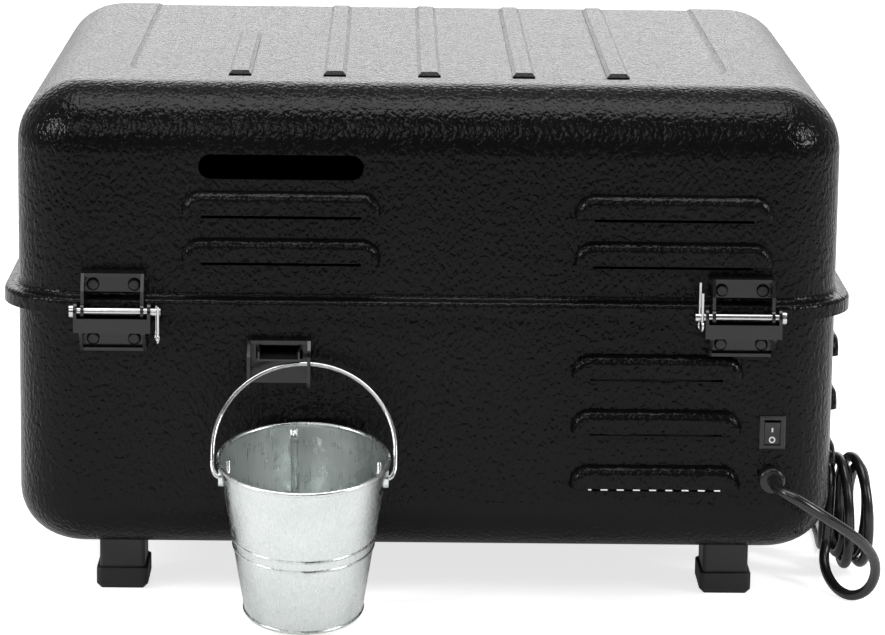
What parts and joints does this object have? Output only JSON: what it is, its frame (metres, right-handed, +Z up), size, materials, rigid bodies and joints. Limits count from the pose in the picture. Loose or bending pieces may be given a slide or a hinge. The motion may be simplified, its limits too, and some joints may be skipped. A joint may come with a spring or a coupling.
{
  "type": "portable pellet grill",
  "caption": "Suitcase-shaped wood pellet grill on four feet, with a hinged lid, louvres, a side hopper, a hanging grease bucket and a power cord.",
  "frame": {"origin": "on the floor, under the middle of the grill's outer box without its cord", "axes": "+Z up, -Y out of the rear wall with the lid hinges and the bucket, +X towards the hopper and the cord"},
  "size_m": [0.5583, 0.5844, 0.3312],
  "materials": {
    "shell_paint": "fine orange-peel black powder coat, semi-gloss",
    "bracket_paint": "smooth satin black powder coat",
    "zinc": "bright zinc plated wire and pins",
    "black_screw": "black oxide, low sheen",
    "leg_paint": "satin black paint",
    "boot_rubber": "matt moulded rubber",
    "gasket": "woven high-temperature seal, matt",
    "inner_steel": "mill finish steel sheet",
    "hot_steel": "heat-tinted stainless steel",
    "enamel": "glossy black porcelain enamel",
    "inner_paint": "satin black powder coat",
    "motor_can": "cast and turned aluminium",
    "panel_plastic": "fine-grained moulded plastic",
    "window": "smoked clear window",
    "knob_plastic": "moulded plastic",
    "jack_metal": "satin stainless steel",
    "galvanised": "galvanised sheet with soft spangle",
    "switch_plastic": "matt moulded plastic",
    "rocker_plastic": "semi-gloss moulded plastic with white marks",
    "cord_jacket": "smooth semi-gloss cord jacket",
    "prong_brass": "plated brass blades"
  },
  "bodies": {
    "base": {"base_shell": "shell_paint", "hinge_base_brackets": "bracket_paint", "drain_bracket": "bracket_paint", "hinge_pin_left": "zinc", "hinge_clip_left": "zinc", "base_screws": "black_screw", "leg_rear_left": "leg_paint", "leg_rear_right": "leg_paint", "leg_front_left": "leg_paint", "leg_front_right": "leg_paint", "boot_rear_left": "boot_rubber", "boot_rear_right": "boot_rubber", "boot_front_left": "boot_rubber", "boot_front_right": "boot_rubber", "partition_wall": "inner_steel", "side_rail_left": "inner_steel", "side_rail_right": "inner_steel", "heat_baffle": "inner_steel", "hopper": "inner_steel", "hopper_guard": "inner_steel", "hopper_lid_hinge": "inner_steel", "blower_housing": "inner_steel", "auger_tube": "inner_steel", "fire_pot": "hot_steel", "igniter_rod": "hot_steel", "temp_probe": "hot_steel", "drip_tray": "enamel", "control_deck": "inner_paint", "auger_motor": "motor_can", "blower_motor": "motor_can", "controller_box": "panel_plastic", "display_window": "window", "probe_jack": "jack_metal", "latch_brackets": "jack_metal", "switch_bezel": "switch_plastic", "cord_bushing": "cord_jacket", "cord_lead": "cord_jacket", "cord_hank": "cord_jacket", "cord_tail": "cord_jacket", "plug": "cord_jacket", "plug_prongs": "prong_brass"},
    "lid": {"lid_shell": "shell_paint", "lid_gasket": "gasket", "hinge_lid_brackets": "bracket_paint", "hinge_pin_right": "zinc", "hinge_clip_right": "zinc", "lid_screws": "black_screw", "latch_keepers": "jack_metal"},
    "latch_left": {"latch_left": "jack_metal"},
    "latch_right": {"latch_right": "jack_metal"},
    "bail": {"bucket_bail": "zinc"},
    "bucket": {"grease_bucket": "galvanised"},
    "rocker": {"switch_rocker": "rocker_plastic"},
    "hopper_lid": {"hopper_lid": "inner_paint"},
    "knob": {"control_knob": "knob_plastic"},
    "button_left": {"button_left": "knob_plastic"},
    "button_right": {"button_right": "knob_plastic"},
    "auger": {"auger_screw": "hot_steel"},
    "fan": {"blower_rotor": "knob_plastic"},
    "grate": {"cooking_grate": "enamel"}
  },
  "joints": [
    {"name": "lid_hinge", "type": "hinge", "parent": "base", "child": "lid", "pos_m": [0, -0.19723, 0.194], "axis": [1, 0, 0], "range_deg": [0, 100]},
    {"name": "latch_left_hinge", "type": "hinge", "parent": "base", "child": "latch_left", "pos_m": [-0.15, 0.28627, 0.168], "axis": [1, 0, 0], "range_deg": [0, 180]},
    {"name": "latch_right_hinge", "type": "hinge", "parent": "base", "child": "latch_right", "pos_m": [0.15, 0.28627, 0.168], "axis": [1, 0, 0], "range_deg": [0, 180]},
    {"name": "bail_hook", "type": "hinge", "parent": "base", "child": "bail", "pos_m": [-0.0755, -0.19673, 0.162], "axis": [-1, 0, 0], "range_deg": [0, 30]},
    {"name": "bucket_pivot", "type": "hinge", "parent": "bail", "child": "bucket", "pos_m": [-0.0755, -0.23744, 0.10004], "axis": [-1, 0, 0], "range_deg": [0, 60]},
    {"name": "rocker_pivot", "type": "hinge", "parent": "base", "child": "rocker", "pos_m": [0.2163, -0.17933, 0.1178], "axis": [-1, 0, 0], "range_deg": [0, 14]},
    {"name": "hopper_lid_hinge", "type": "hinge", "parent": "base", "child": "hopper_lid", "pos_m": [0.0928, 0, 0.1901], "axis": [0, -1, 0], "range_deg": [0, 95]},
    {"name": "knob_turn", "type": "hinge", "parent": "base", "child": "knob", "pos_m": [0.206, 0.18977, 0.1885], "axis": [0, 0, 1], "range_deg": [-135, 135]},
    {"name": "button_left_press", "type": "slide", "parent": "base", "child": "button_left", "axis": [0, 0, -1], "range_m": [0, 0.0015], "stiffness_N_per_m": 250, "springref_m": -0.0008},
    {"name": "button_right_press", "type": "slide", "parent": "base", "child": "button_right", "axis": [0, 0, -1], "range_m": [0, 0.0015], "stiffness_N_per_m": 250, "springref_m": -0.0008},
    {"name": "auger_turn", "type": "hinge", "parent": "base", "child": "auger", "pos_m": [0.15, 0.00077, 0.084], "axis": [1, 0, 0], "continuous": true},
    {"name": "fan_turn", "type": "hinge", "parent": "base", "child": "fan", "pos_m": [0.0795, -0.07173, 0.082], "axis": [1, 0, 0], "continuous": true},
    {"name": "grate_lift", "type": "slide", "parent": "base", "child": "grate", "axis": [0, 0, 1], "range_m": [0, 0.1]}
  ]
}
